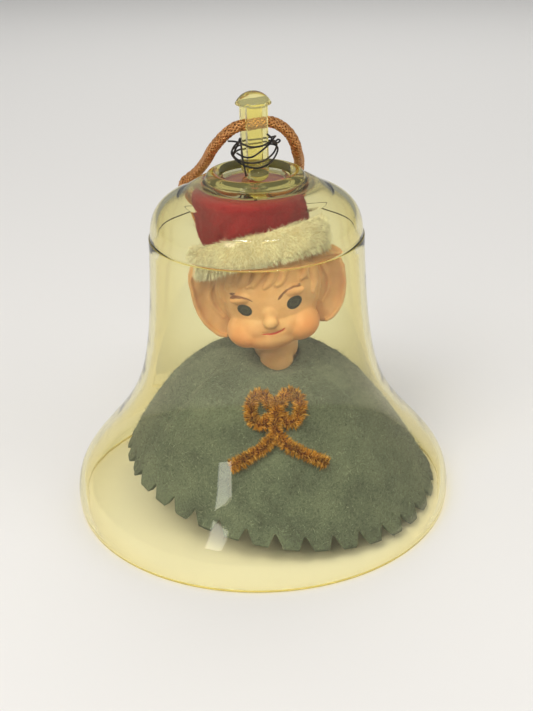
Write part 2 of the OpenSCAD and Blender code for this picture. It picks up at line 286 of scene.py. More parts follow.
# The overhand knot that closes the loop, and its two short ends, whose yarns spread where they were cut.
knot_middle = np.array((0, 26.4, 29.7))
turns = np.linspace(0, 2 * math.pi, 15, endpoint=False)
knot_curve = np.stack([np.sin(turns) + 1.7 * np.sin(2 * turns), -0.9 * np.sin(3 * turns) + 0.25,
                       np.cos(turns) - 1.7 * np.cos(2 * turns)], -1) * 0.72 + knot_middle
knot_parts = braid(smooth_line([tuple(p) for p in knot_curve], 0.3, closed=True), 0.82 * cord_d)
for side in (-1, 1):
    hang = [(side * (0.7 + 0.16 * t), 26.8 + 0.37 * t, 29.2 - 0.92 * t) for t in (0, 2.4, 4.8, 7.2, 9.6)]
    end_line = smooth_line(hang, 0.3)
    reach = np.linspace(0, 1, len(end_line))
    knot_parts += braid(end_line, 0.86 * cord_d, flare=1 + 0.42 * np.clip(reach - 0.72, 0, 1) / 0.28)
knot_vertices, knot_faces, knot_owner = joined(knot_parts)
knot_piece = new_piece("cord_knot_braid", knot_vertices, knot_faces, (core_yarn, copper_yarn),
                       [0 if owner % 17 == 0 else 1 for owner in knot_owner])

for piece, node in ((cord_piece, "hanging_cord"), (knot_piece, "cord_knot")):
    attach(piece, "cord_loop")
    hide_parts(node)


# ---------------------------------------------------------------- bell shell
# One thin moulding in clear pale amber plastic: a long flare, a straight waist, a fine step line round the
# shoulder, and a raised ring on the crown. The wall darkens where the light runs along it.
rim_r, waist_r, crown_h, wall = 38.0, 20.45, 66.2, 1.2
step_z = crown_h - 10.8
step_in = 0.25
lip_h = 7.3
flare_r = waist_r + 4.55
flare_z = lip_h + 0.34 * (step_z - lip_h)
crease_r, crease_z = waist_r - 5.85, crown_h - 2.6
ring_outer_r, ring_t = 9.35, 2.9
wire_hole_r = 0.3


def bezier(corners, steps):
    """Points along a cubic curve with these four corners."""
    t = np.linspace(0, 1, steps + 1)[:, None]
    a, b, c, d = (np.array(q, float) for q in corners)
    return (1 - t) ** 3 * a + 3 * (1 - t) ** 2 * t * b + 3 * (1 - t) * t ** 2 * c + t ** 3 * d


def inset(line, depth):
    """A [radius, height] line moved inwards, square to itself."""
    along = np.gradient(line, axis=0)
    along /= np.linalg.norm(along, axis=1)[:, None]
    return line - depth * np.stack([along[:, 1], -along[:, 0]], -1)


lower = np.concatenate([
    bezier([(rim_r, 0.7), (rim_r + 0.35, 0.45 * lip_h), (rim_r - 0.1, 0.77 * lip_h), (rim_r - 1.1, lip_h)],
           14),
    bezier([(rim_r - 1.1, lip_h), (rim_r - 3.6, lip_h + 4.1), (flare_r + 3.4, flare_z - 7.3),
            (flare_r, flare_z)], 26)[1:],
    bezier([(flare_r, flare_z), (flare_r - 2.8, flare_z + 6),
            (waist_r + 0.55, flare_z + 0.45 * (step_z - flare_z)), (waist_r, step_z)], 30)[1:]])
upper = bezier([(waist_r - step_in, step_z), (waist_r - step_in - 0.05, step_z + 4.8),
                (crease_r + 3.8, crease_z - 1.6), (crease_r, crease_z)], 26)
rim_round = np.array([(rim_r - 0.5 * wall + 0.6 * math.sin(a), 0.6 - 0.6 * math.cos(a))
                      for a in np.linspace(-1.2, 1.3, 9)])
ring_middle = ring_outer_r - ring_t / 2
ring_arc = np.array([(ring_middle + ring_t / 2 * math.cos(a), crown_h + ring_t / 2 * math.sin(a))
                     for a in np.linspace(0.12, math.pi - 0.12, 17)])
crown_slope = bezier([(crease_r, crease_z), (crease_r - 1.9, crease_z + 1.0),
                      (ring_outer_r + 1.5, crown_h - 0.2),
                      (ring_outer_r + 0.15, crown_h)], 8)[1:]
step_corner = np.array([(waist_r - 0.03, step_z + 0.06), (waist_r - step_in + 0.04, step_z + 0.09)])
outer_line = np.concatenate([rim_round, lower[1:], step_corner, upper[1:], crown_slope, ring_arc,
                             [(5.0, crown_h), (2.0, crown_h), (wire_hole_r, crown_h)]])
inner_low = inset(lower, wall)
inner_high = inset(upper[4:], wall)
inner_line = np.concatenate([inner_low, inner_high, [(crease_r - 2.2, crown_h - wall - 0.9),
                             (ring_outer_r - 0.4, crown_h - wall), (5.0, crown_h - wall),
                             (2.0, crown_h - wall),
                             (wire_hole_r, crown_h - wall)]])
bell_profile = np.concatenate([outer_line, inner_line[::-1]])


def turned(profile, segments, closed=True):
    """Vertices and faces of a [radius, height] profile turned about the Z axis."""
    angles = np.arange(segments) * 2 * math.pi / segments
    count = len(profile)
    vertices = np.stack([np.outer(np.cos(angles), profile[:, 0]), np.outer(np.sin(angles), profile[:, 0]),
                         np.broadcast_to(profile[:, 1], (segments, count))], -1).reshape(-1, 3)
    faces = []
    for i in range(segments):
        j = (i + 1) % segments
        for k in range(count if closed else count - 1):
            m = (k + 1) % count
            faces.append((i * count + k, j * count + k, j * count + m, i * count + m))
    return vertices, faces


def clear_plastic(name, face_on, edge_on, clearness, haze, wave):
    """Clear moulded plastic: its tint deepens where the skin is seen edge on, with a slow wave and scuffs."""
    material, nodes, links, shader = fresh_finish(name)
    output = nodes["Material Output"]
    facing = placed(nodes, "ShaderNodeLayerWeight", {"Blend": 0.5})
    tint = nodes.new("ShaderNodeValToRGB")
    shaded(tint, 0.30, (*face_on, 1), 0.92, (*edge_on, 1))
    links.new(facing.outputs["Facing"], tint.inputs["Fac"])
    links.new(tint.outputs["Color"], shader.inputs["Base Color"])
    shader.inputs["Transmission Weight"].default_value = clearness
    shader.inputs["IOR"].default_value = 1.42
    place = nodes.new("ShaderNodeTexCoord")
    stretch = placed(nodes, "ShaderNodeMapping", {"Scale": (1, 1, 3.4)})
    links.new(place.outputs["Object"], stretch.inputs["Vector"])
    slow = placed(nodes, "ShaderNodeTexNoise", {"Scale": 62, "Detail": 1.5})
    links.new(stretch.outputs["Vector"], slow.inputs["Vector"])
    scuff = placed(nodes, "ShaderNodeTexNoise", {"Scale": 900, "Detail": 6, "Roughness": 0.7})
    links.new(place.outputs["Object"], scuff.inputs["Vector"])
    scuffed = placed(nodes, "ShaderNodeMapRange", {
        "From Min": 0.48, "From Max": 0.75, "To Min": haze, "To Max": haze + 0.02})
    links.new(scuff.outputs["Fac"], scuffed.inputs["Value"])
    links.new(scuffed.outputs["Result"], shader.inputs["Roughness"])
    bump = placed(nodes, "ShaderNodeBump", {"Strength": 1, "Distance": wave * MM})
    links.new(slow.outputs["Fac"], bump.inputs["Height"])
    links.new(bump.outputs["Normal"], shader.inputs["Normal"])
    lamp_ray = nodes.new("ShaderNodeLightPath")
    through = placed(nodes, "ShaderNodeBsdfTransparent", {"Color": (0.985, 0.965, 0.86, 1)})
    either = nodes.new("ShaderNodeMixShader")
    links.new(lamp_ray.outputs["Is Shadow Ray"], either.inputs["Fac"])
    links.new(shader.outputs["BSDF"], either.inputs[1])
    links.new(through.outputs["BSDF"], either.inputs[2])
    links.new(either.outputs["Shader"], output.inputs["Surface"])
    return material


bell_plastic = clear_plastic("clear_amber_plastic", (0.98, 0.95, 0.70), (0.83, 0.69, 0.18), 1, 0, 0.04)
ring_plastic = clear_plastic("thick_amber_plastic", (0.98, 0.88, 0.30), (0.80, 0.62, 0.08), 0.88, 0.02, 0.03)
edge_plastic = clear_plastic("amber_edge", (0.86, 0.70, 0.16), (0.58, 0.44, 0.06), 0.65, 0.06, 0.02)
bell_vertices, bell_faces = turned(bell_profile, 224)
profile_spots = (bell_profile + np.roll(bell_profile, -1, axis=0)) / 2
on_ring = (profile_spots[:, 1] > crown_h - 0.05) & (profile_spots[:, 0] > 6.2)
on_edge = (profile_spots[:, 1] < 0.55) | ((abs(profile_spots[:, 1] - step_z - 0.06) < 0.07)
                                          & (profile_spots[:, 0] > waist_r - step_in))
finish = np.where(on_edge, 2, np.where(on_ring, 1, 0))
bell_piece = new_piece("bell_moulding", bell_vertices, bell_faces, (bell_plastic, ring_plastic, edge_plastic),
                       finish.tolist() * 224)
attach(bell_piece, "bell")
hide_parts("bell_shell")


# ---------------------------------------------------------------- hanger post
# The bell is hung from this clear moulding: two flat legs with a slot between them for the cord, a mushroom
# cap that keeps the cord on, and a rounded foot on each leg, welded to the crown's floor.
hanger_low, hanger_high = (Vector(corner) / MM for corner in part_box("hanger_post"))
leg_w, leg_t, slot_w = 3.9, 1.5, 2.8
cap_r, cap_h = 3.4, 2.4
foot_r = 2.0
hanger_turn = math.radians(15)
cap_foot = hanger_high.z - cap_h


def sculpted(name, parts, voxel, rounds, material, factor=0.5):
    """Closed forms melted into one skin: remeshed at voxel, in millimetres, then eased over rounds."""
    vertices, faces, _ = joined(parts)
    piece = new_piece(name, vertices, faces, (material,))
    melt = piece.modifiers.new("melt", "REMESH")
    melt.mode = "VOXEL"
    melt.voxel_size = voxel * MM
    melt.use_smooth_shade = True
    ease = piece.modifiers.new("ease", "SMOOTH")
    ease.factor = factor
    ease.iterations = rounds
    seen = piece.evaluated_get(bpy.context.evaluated_depsgraph_get())
    mesh = bpy.data.meshes.new_from_object(seen)
    piece.modifiers.clear()
    piece.data = mesh
    mesh.materials.clear()
    mesh.materials.append(material)
    mesh.polygons.foreach_set("use_smooth", [True] * len(mesh.polygons))
    return piece


def ball(middle, radii, segments=24, rings=16):
    """Vertices and faces of an ellipsoid."""
    form = bmesh.new()
    bmesh.ops.create_uvsphere(form, u_segments=segments, v_segments=rings, radius=1)
    vertices = np.array([v.co for v in form.verts]) * np.array(radii) + np.array(middle)
    faces = [tuple(v.index for v in face.verts) for face in form.faces]
    form.free()
    return vertices, faces


def block(low, high):
    """Vertices and faces of a box between two corners."""
    form = bmesh.new()
    bmesh.ops.create_cube(form, size=1)
    low, high = np.array(low, float), np.array(high, float)
    vertices = np.array([v.co for v in form.verts]) * (high - low) + (low + high) / 2
    faces = [tuple(v.index for v in face.verts) for face in form.faces]
    form.free()
    return vertices, faces


def spun(vertices, angle, middle=(0, 0, 0)):
    """Vertices turned about a vertical axis and moved."""
    c, s = math.cos(angle), math.sin(angle)
    return vertices @ np.array(((c, s, 0), (-s, c, 0), (0, 0, 1))) + np.array(middle)


cap_ball = (cap_r ** 2 + cap_h ** 2) / (2 * cap_h)
cap_swing = math.asin(cap_r / cap_ball)
cap_line = np.array([(0.01, 0)] + [(cap_r - 0.35, 0.0), (cap_r - 0.08, 0.12), (cap_r - 0.02, 0.35)] + [
    (cap_ball * math.sin(a), cap_h - cap_ball + cap_ball * math.cos(a))
    for a in np.linspace(cap_swing * 0.93, 0.01, 12)])
cap_vertices, cap_faces = turned(cap_line, 48)
hanger_parts = [(cap_vertices + np.array((0, 0, cap_foot)), cap_faces)]
for way in (0, math.pi):
    leg_vertices, leg_faces = block((-leg_w / 2, slot_w / 2, hanger_low.z + 0.7 * foot_r),
                                    (leg_w / 2, slot_w / 2 + leg_t, cap_foot + 0.6))
    hanger_parts.append((spun(leg_vertices, way + hanger_turn), leg_faces))
    foot_vertices, foot_faces = ball((0, slot_w / 2 + 0.62 * foot_r, hanger_low.z + 0.66 * foot_r),
                                     (0.98 * foot_r, 0.62 * foot_r, 0.66 * foot_r))
    hanger_parts.append((spun(foot_vertices, way + hanger_turn), foot_faces))
post_plastic = clear_plastic("amber_post_plastic", (0.95, 0.88, 0.42), (0.80, 0.64, 0.14), 0.93, 0.03, 0.03)
hanger_piece = sculpted("hanger_moulding", hanger_parts, 0.11, 3, post_plastic)
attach(hanger_piece, "bell")
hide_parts("hanger_post")


# ---------------------------------------------------------------- tie wire and suspension wire
# Thin blackened wire, wound loosely round the hanger's legs and twisted to itself on the right.
# A short straight wire runs from it through the hole in the crown down to the pixie's hat.
tie_r = 0.17
tie_height = crown_h
tie_turns = [
    (-4.7, -2.2, 7.6), (-3.6, -2.9, 7.7), (-2.6, -3.5, 7.6), (-0.6, -3.9, 6.9), (1.4, -3.7, 7.0),
    (3.0, -2.9, 7.6),
    (3.7, -1.4, 7.9), (3.9, 0.6, 7.6), (3.1, 2.6, 6.9), (1.2, 3.6, 6.6), (-1.2, 3.6, 6.4), (-3.0, 2.6, 6.0),
    (-4.0, 0.6, 5.4), (-3.9, -1.4, 4.8), (-2.7, -3.2, 4.2), (-0.6, -3.9, 3.9), (1.6, -3.7, 4.2),
    (3.4, -2.4, 5.2),
    (4.1, -0.4, 6.2), (3.6, 2.0, 6.4), (1.6, 3.6, 5.9), (-1.0, 3.8, 5.6), (-3.3, 2.5, 5.3), (-4.2, 0.2, 5.0),
    (-3.7, -2.0, 4.4), (-2.0, -3.6, 3.5), (0.2, -4.1, 3.0), (2.3, -3.5, 3.4), (3.7, -2.0, 4.4),
    (4.3, 0.2, 5.4),
    (3.5, 2.3, 5.6), (1.4, 3.7, 5.2), (-1.1, 3.7, 4.8), (-3.2, 2.6, 4.5), (-4.0, 0.4, 4.2), (-3.6, -1.7, 5.6),
    (-2.9, -2.9, 7.2), (-2.5, -3.2, 8.3), (-2.3, -3.3, 6.4), (-2.1, -3.5, 4.4), (-1.8, -3.7, 2.7),
    (-1.6, -3.6, 1.4)]
twist_turns = [(2.3, -2.6, 8.9), (3.1, -2.7, 8.2), (3.4, -3.0, 7.3), (3.9, -3.1, 7.6), (4.3, -2.9, 7.9),
               (4.7, -3.0, 7.7), (4.3, -3.3, 7.4), (3.7, -3.0, 7.2), (3.3, -2.7, 7.7), (2.9, -2.9, 7.2),
               (2.2, -3.3, 6.7),
               (1.0, -3.9, 5.9), (-0.4, -4.1, 5.1), (-1.8, -3.7, 5.0), (-3.2, -2.4, 5.4)]


def painted_wire(name):
    """Annealed black wire: near-black oxide, rubbed brown in places."""
    material, nodes, links, shader = fresh_finish(name)
    place = nodes.new("ShaderNodeTexCoord")
    wear = placed(nodes, "ShaderNodeTexNoise", {"Scale": 700, "Detail": 4})
    links.new(place.outputs["Object"], wear.inputs["Vector"])
    tone = nodes.new("ShaderNodeValToRGB")
    shaded(tone, 0.45, (0.018, 0.019, 0.022, 1), 0.72, (0.10, 0.075, 0.055, 1))
    links.new(wear.outputs["Fac"], tone.inputs["Fac"])
    links.new(tone.outputs["Color"], shader.inputs["Base Color"])
    shader.inputs["Metallic"].default_value = 0.6
    rough = placed(nodes, "ShaderNodeMapRange", {"To Min": 0.34, "To Max": 0.62})
    links.new(wear.outputs["Fac"], rough.inputs["Value"])
    links.new(rough.outputs["Result"], shader.inputs["Roughness"])
    return material


black_wire = painted_wire("black_wire")
tie_parts = []
for path in (tie_turns, twist_turns):
    lifted = [(x, y, z + tie_height) for x, y, z in path]
    tie_parts.append(tube_mesh(smooth_line(lifted, 0.16), tie_r, 8))
tie_vertices, tie_faces, _ = joined(tie_parts)
tie_piece = new_piece("tie_wire_turns", tie_vertices, tie_faces, (black_wire,))
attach(tie_piece, "bell")
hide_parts("tie_wire")
for material_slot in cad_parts["suspension_wire"].material_slots:
    material_slot.material = black_wire


# ---------------------------------------------------------------- pixie's head
# One soft vinyl moulding: round skull, full cheeks, button nose, swept hair, leaf ears and a neck stub.
# The eyes, brows and mouth are painted on, the cheeks are sprayed orange, and a lighter patch on the nose tip
# is a painted highlight.
head_middle = np.array((2.3, -1.0, 43.5))
head_roll = math.radians(-8.5)
head_turn = np.array(Matrix.Rotation(head_roll, 3, "Y"))


def on_head(points):
    """Points of the head's own frame, in the bell's frame."""
    return np.asarray(points, float) @ head_turn.T + head_middle


def leaf(outline, low, high, swell):
    """A closed thin leaf from an [x, z] outline, between two depths in y, swollen in its middle."""
    edge = smooth_line([(x, 0, z) for x, z in outline], 0.7, closed=True)[:-1]
    middle = edge.mean(axis=0)
    vertices, faces = [], []
    shares = (1.0, 0.94, 0.75, 0.5, 0.25)
    count = len(edge)
    for depth, out in ((low, -swell), (high, swell)):
        for share in shares:
            ring = middle + (edge - middle) * share
            ring[:, 1] = (depth if share < 1 else (low + high) / 2) + out * (1 - share ** 2)
            vertices.append(ring)
        vertices.append((middle + np.array((0, depth + out, 0)))[None, :])
    vertices = np.concatenate(vertices)
    for layer in (0, 1):
        base = layer * (len(shares) * count + 1)
        for k in range(len(shares) - 1):
            for i in range(count):
                j = (i + 1) % count
                quad = (base + k * count + i, base + k * count + j, base + (k + 1) * count + j,
                        base + (k + 1) * count + i)
                faces.append(quad if layer else quad[::-1])
        hub = base + len(shares) * count
        for i in range(count):
            j = (i + 1) % count
            spoke = (base + (len(shares) - 1) * count + i, base + (len(shares) - 1) * count + j, hub)
            faces.append(spoke if layer else spoke[::-1])
    upper = len(shares) * count + 1
    for i in range(count):
        j = (i + 1) % count
        faces.append((i, j, upper + j, upper + i))
    return vertices, faces


def on_skull(x, z, lift=0.0):
    """A point on the front of the hair's ball at this x and z, lift above it."""
    reach = 10.2 + lift
    return (x, 0.8 - math.sqrt(max(reach ** 2 - x ** 2 - (z - 2.2) ** 2, 0.5)), z)


head_parts = [
    ball((0, 0, 0), (9.2, 9.4, 9.5), 40, 28), ball((0, 0.8, 2.2), (10.2, 10.2, 10.2), 40, 28),
    ball((0, 1.6, -4.2), (6.4, 6.4, 5.0)), ball((-0.9, -5.6, -5.2), (6.0, 4.3, 3.5), 32, 22),
    ball((-0.5, -5.3, -3.6), (7.7, 4.7, 3.9), 32, 22), ball((-0.35, -9.95, -1.75), (1.45, 1.2, 1.15)),
    ball((-0.3, -9.0, -0.6), (1.5, 0.9, 1.8))]
for side in (-1, 1):
    head_parts.append(ball((side * 4.7 - 0.2, -4.9, -4.4), (4.2, 4.4, 3.6), 32, 22))
    head_parts.append(ball((side * 4.6 - 0.2, -7.9, 3.2), (2.6, 1.1, 1.1)))
ear_line = [(8.0, 6.6), (11.5, 7.4), (14.8, 7.0), (14.9, 3.0), (14.7, -0.5), (13.8, -4.0), (11.9, -6.8),
            (9.8, -7.9), (8.2, -7.2), (7.2, -3.0), (7.0, 2.5)]
for side in (-1, 1):
    ear_vertices, ear_faces = leaf([(side * x, z) for x, z in ear_line[::side]], -0.2, 1.0, 0.45)
    head_parts.append((ear_vertices, ear_faces))
    for fold, thick in (([(9.0, 6.4), (12.0, 6.9), (14.4, 6.0), (14.6, 3.0), (14.4, -0.4), (13.4, -3.8),
                          (11.4, -6.4),
                          (9.6, -7.2)], 0.5), ([(9.2, 5.2), (10.6, 3.6), (11.6, 1.2), (11.0, -1.4),
                                                (9.6, -3.4)], 0.4)):
        fold_line = smooth_line([(side * x, -0.75 + 0.05 * (abs(x) - 9), z) for x, z in fold], 0.4)
        head_parts.append(tube_mesh(fold_line, thick * np.sin(np.linspace(0.5, 2.6, len(fold_line))) ** 0.5,
                                    10))
locks = [
    ([(4.6, 9.0), (2.6, 9.0), (0.4, 8.0), (-1.6, 6.4), (-2.6, 5.2)], 1.15),
    ([(2.2, 10.0), (-0.4, 9.4), (-2.4, 8.0), (-4.2, 6.2), (-5.4, 5.3)], 1.15),
    ([(-0.6, 10.6), (-3.2, 9.4), (-5.2, 7.8), (-6.8, 6.0), (-7.6, 4.4)], 1.1),
    ([(5.6, 8.2), (4.0, 8.2), (2.2, 7.2), (0.6, 5.8), (-0.6, 4.9)], 1.05),
    ([(6.2, 7.6), (5.0, 7.4), (3.8, 6.6), (2.6, 5.4), (1.6, 5.0)], 0.85),
    ([(4.6, 9.4), (6.4, 8.2), (7.4, 6.6), (7.2, 5.2), (6.2, 4.8)], 0.95),
    ([(5.8, 8.8), (7.6, 7.0), (8.6, 4.8), (8.7, 2.6), (8.2, 1.0)], 0.95),
    ([(-3.6, 9.8), (-6.2, 8.4), (-7.8, 6.4), (-8.5, 4.0), (-8.4, 1.8)], 0.95),
    ([(6.4, 8.2), (8.4, 6.2), (9.2, 3.6), (9.3, 1.0), (8.8, -1.4)], 0.8),
    ([(-6.2, 8.4), (-8.2, 6.4), (-9.1, 3.8), (-9.3, 1.2), (-8.9, -1.0)], 0.8),
    ([(1.0, 8.8), (-0.8, 7.6), (-2.2, 6.2), (-3.8, 5.3)], 0.6), ([(3.4, 8.0), (1.6, 6.6), (0.6, 5.2)], 0.5),
    ([(-2.4, 9.4), (-4.2, 7.8), (-5.8, 6.2), (-6.6, 5.4)], 0.55), ([(6.6, 7.4), (7.6, 5.8), (7.9, 4.2)], 0.5)]
for lock, full in locks:
    lock_line = smooth_line([on_skull(x, z, 0.62 - 0.5 * full) for x, z in lock], 0.4)
    thick = full * (0.25 + 0.75 * np.sin(np.linspace(0.6, math.pi - 0.10, len(lock_line))) ** 0.8)
    head_parts.append(tube_mesh(lock_line, thick, 10))
head_parts = [(on_head(vertices), faces) for vertices, faces in head_parts]
neck_line = smooth_line([(2.6, -0.6, 37.5), (2.9, -0.4, 34.5), (3.3, -0.2, 32.0), (3.4, -0.1, 30.3)], 0.6)
head_parts.append(tube_mesh(neck_line, np.interp(neck_line[:, 2], (30.3, 30.9, 32, 37),
                                                 (3.6, 4.15, 4.4, 4.6)), 28))
head_parts.append(ball((3.3, -3.2, 30.4), (3.3, 1.9, 3.4)))


def paint_patch():
    """A node group: how far a point, in the head's own millimetres, lies inside a soft oval on the face."""
    group = bpy.data.node_groups.new("painted_oval", "ShaderNodeTree")
    for socket, kind in (("Point", "NodeSocketVector"), ("Middle", "NodeSocketVector"),
                         ("Half Size", "NodeSocketVector"), ("Tilt", "NodeSocketFloat"),
                         ("Softness", "NodeSocketFloat")):
        group.interface.new_socket(name=socket, in_out="INPUT", socket_type=kind)
    group.interface.new_socket(name="Mask", in_out="OUTPUT", socket_type="NodeSocketFloat")
    group.interface.new_socket(name="Distance", in_out="OUTPUT", socket_type="NodeSocketFloat")
    nodes, links = group.nodes, group.links
    given = nodes.new("NodeGroupInput")
    result = nodes.new("NodeGroupOutput")
    shift = nodes.new("ShaderNodeVectorMath")
    shift.operation = "SUBTRACT"
    links.new(given.outputs["Point"], shift.inputs[0])
    links.new(given.outputs["Middle"], shift.inputs[1])
    spin = nodes.new("ShaderNodeVectorRotate")
    spin.rotation_type = "Y_AXIS"
    links.new(shift.outputs["Vector"], spin.inputs["Vector"])
    links.new(given.outputs["Tilt"], spin.inputs["Angle"])
    size = nodes.new("ShaderNodeVectorMath")
    size.operation = "DIVIDE"
    links.new(spin.outputs["Vector"], size.inputs[0])
    links.new(given.outputs["Half Size"], size.inputs[1])
    length = nodes.new("ShaderNodeVectorMath")
    length.operation = "LENGTH"
    links.new(size.outputs["Vector"], length.inputs[0])
    low = nodes.new("ShaderNodeMath")
    low.operation = "SUBTRACT"
    low.inputs[0].default_value = 1
    links.new(given.outputs["Softness"], low.inputs[1])
    high = placed(nodes, "ShaderNodeMath", {0: 1})
    links.new(given.outputs["Softness"], high.inputs[1])
    fade = nodes.new("ShaderNodeMapRange")
    fade.interpolation_type = "SMOOTHSTEP"
    fade.inputs["To Min"].default_value = 1
    fade.inputs["To Max"].default_value = 0
    links.new(length.outputs["Value"], fade.inputs["Value"])
    links.new(low.outputs["Value"], fade.inputs["From Min"])
    links.new(high.outputs["Value"], fade.inputs["From Max"])
    links.new(fade.outputs["Result"], result.inputs["Mask"])
    links.new(length.outputs["Value"], result.inputs["Distance"])
    return group


painted_oval = paint_patch()


def vinyl_skin():
    """Waxy tan doll's vinyl with sprayed cheeks, brushed eyes, brows and mouth, and a painted highlight on
    the nose tip.
    """
    material, nodes, links, shader = fresh_finish("painted_vinyl")
    place = nodes.new("ShaderNodeTexCoord")
    local = nodes.new("ShaderNodeMapping")
    local.vector_type = "TEXTURE"
    local.inputs["Location"].default_value = tuple(head_middle * MM)
    local.inputs["Rotation"].default_value = (0, head_roll, 0)
    local.inputs["Scale"].default_value = (MM, MM, MM)
    links.new(place.outputs["Object"], local.inputs["Vector"])
    mottle = placed(nodes, "ShaderNodeTexNoise", {"Scale": 0.32, "Detail": 5})
    links.new(local.outputs["Vector"], mottle.inputs["Vector"])
    skin = nodes.new("ShaderNodeValToRGB")
    shaded(skin, 0.35, (0.66, 0.36, 0.18, 1), 0.68, (0.76, 0.46, 0.26, 1))
    links.new(mottle.outputs["Fac"], skin.inputs["Fac"])
    colour = skin.outputs["Color"]

    def oval(middle, half, tilt, softness, strength, paint, under):
        patch = nodes.new("ShaderNodeGroup")
        patch.node_tree = painted_oval
        patch.inputs["Middle"].default_value = middle
        patch.inputs["Half Size"].default_value = half
        patch.inputs["Tilt"].default_value = math.radians(tilt)
        patch.inputs["Softness"].default_value = softness
        links.new(local.outputs["Vector"], patch.inputs["Point"])
        amount = nodes.new("ShaderNodeMath")
        amount.operation = "MULTIPLY"
        amount.inputs[1].default_value = strength
        links.new(patch.outputs["Mask"], amount.inputs[0])
        blend = nodes.new("ShaderNodeMix")
        blend.data_type = "RGBA"
        links.new(amount.outputs["Value"], blend.inputs["Factor"])
        links.new(under, blend.inputs["A"])
        if isinstance(paint, tuple):
            blend.inputs["B"].default_value = (*paint, 1)
        else:
            rings = placed(nodes, "ShaderNodeTexNoise", {"Scale": 1.5, "Detail": 2})
            links.new(local.outputs["Vector"], rings.inputs["Vector"])
            wobble = nodes.new("ShaderNodeMath")
            wobble.operation = "MULTIPLY_ADD"
            wobble.inputs[1].default_value = 5.0
            links.new(rings.outputs["Fac"], wobble.inputs[0])
            turns_out = nodes.new("ShaderNodeMath")
            turns_out.operation = "MULTIPLY"
            turns_out.inputs[1].default_value = 11
            links.new(patch.outputs["Distance"], turns_out.inputs[0])
            links.new(turns_out.outputs["Value"], wobble.inputs[2])
            wave = nodes.new("ShaderNodeMath")
            wave.operation = "SINE"
            links.new(wobble.outputs["Value"], wave.inputs[0])
            brush = nodes.new("ShaderNodeValToRGB")
            shaded(brush, 0.25, (0.010, 0.011, 0.009, 1), 0.95, (0.050, 0.056, 0.038, 1))
            links.new(wave.outputs["Value"], brush.inputs["Fac"])
            links.new(brush.outputs["Color"], blend.inputs["B"])
        return blend.outputs["Result"]

    blush = (0.88, 0.30, 0.10)
    colour = oval((-6.6, -7.5, -5.9), (3.7, 6.0, 3.0), 0, 0.95, 0.60, blush, colour)
    colour = oval((6.9, -7.0, -5.4), (3.5, 6.0, 2.9), 0, 0.95, 0.58, blush, colour)
    colour = oval((-0.9, -7.0, -8.1), (6.0, 5.0, 1.5), 0, 0.95, 0.45, blush, colour)
    # Painted highlight: a lighter patch on the nose tip.
    colour = oval((-0.3, -11.0, -1.5), (1.3, 2.0, 1.0), 0, 0.7, 0.35, (0.88, 0.60, 0.34), colour)
    colour = oval((-4.8, -8.5, 0.75), (1.42, 4.0, 1.20), -14, 0.06, 1, None, colour)
    colour = oval((4.6, -8.5, 0.8), (1.50, 4.0, 1.28), 16, 0.06, 1, None, colour)
    brow = (0.17, 0.055, 0.022)
    for middle, half, tilt, strength in (
            ((-6.4, -8.0, 3.85), (0.75, 5, 0.27), 4, 0.95), ((-5.4, -8.0, 3.80), (0.85, 5, 0.25), -10, 0.95),
            ((-4.4, -8.0, 3.50), (0.8, 5, 0.19), -24, 0.9), ((-3.5, -8.0, 2.95), (0.7, 5, 0.14), -38, 0.85),
            ((2.3, -8.0, 2.75), (0.8, 5, 0.25), 42, 0.95), ((3.2, -8.0, 3.45), (0.8, 5, 0.22), 32, 0.9),
            ((4.3, -8.0, 3.90), (0.85, 5, 0.17), 14, 0.85), ((5.5, -8.0, 4.00), (0.8, 5, 0.13), -4, 0.8)):
        colour = oval(middle, half, tilt, 0.25, strength, brow, colour)
    lip = (0.55, 0.03, 0.012)
    for middle, half, tilt in (((-1.5, -9.0, -4.05), (0.9, 5, 0.13), -8),
                               ((-0.3, -9.0, -4.18), (0.95, 5, 0.20), 2),
                               ((0.9, -9.0, -3.95), (0.95, 5, 0.24), 18),
                               ((1.7, -9.0, -3.6), (0.5, 5, 0.14), 34)):
        colour = oval(middle, half, tilt, 0.3, 0.95, lip, colour)
    links.new(colour, shader.inputs["Base Color"])
    shader.inputs["Subsurface Weight"].default_value = 0.28
    shader.inputs["Subsurface Radius"].default_value = (1.0, 0.42, 0.18)
    shader.inputs["Subsurface Scale"].default_value = 0.0016
    shader.inputs["Specular IOR Level"].default_value = 0.45
    grain = placed(nodes, "ShaderNodeTexNoise", {"Scale": 3.2, "Detail": 4})
    links.new(local.outputs["Vector"], grain.inputs["Vector"])
    rough = placed(nodes, "ShaderNodeMapRange", {
        "From Min": 0.3, "From Max": 0.7, "To Min": 0.26, "To Max": 0.42})
    links.new(grain.outputs["Fac"], rough.inputs["Value"])
    links.new(rough.outputs["Result"], shader.inputs["Roughness"])
    bump = placed(nodes, "ShaderNodeBump", {"Strength": 0.35, "Distance": 0.00005})
    links.new(grain.outputs["Fac"], bump.inputs["Height"])
    links.new(bump.outputs["Normal"], shader.inputs["Normal"])
    return material


doll_vinyl = vinyl_skin()
head_piece = sculpted("pixie_head", head_parts, 0.19, 6, doll_vinyl)

# The ears are cupped towards the front, and the mouth is a shallow crease.
head_points = np.empty(len(head_piece.data.vertices) * 3)
head_piece.data.vertices.foreach_get("co", head_points)
face = (head_points.reshape(-1, 3) / MM - head_middle) @ head_turn
ear_cup = np.exp(-(((np.abs(face[:, 0]) - 11.6) / 2.3) ** 2 + ((face[:, 2] + 0.2) / 4.6) ** 2) ** 2)
face[:, 1] += 0.95 * ear_cup * (face[:, 1] < 0.35) * (np.abs(face[:, 0]) > 8)
smile = np.exp(-((face[:, 0] + 0.1) / 1.9) ** 4 - ((face[:, 2] + 4.1 - 0.07 * face[:, 0] ** 2) / 0.34) ** 2)
face[:, 1] += 0.35 * smile * (face[:, 1] < -6)
head_piece.data.vertices.foreach_set("co", (on_head(face) * MM).ravel())
head_piece.data.update()
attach(head_piece, "pixie")
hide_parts("head")


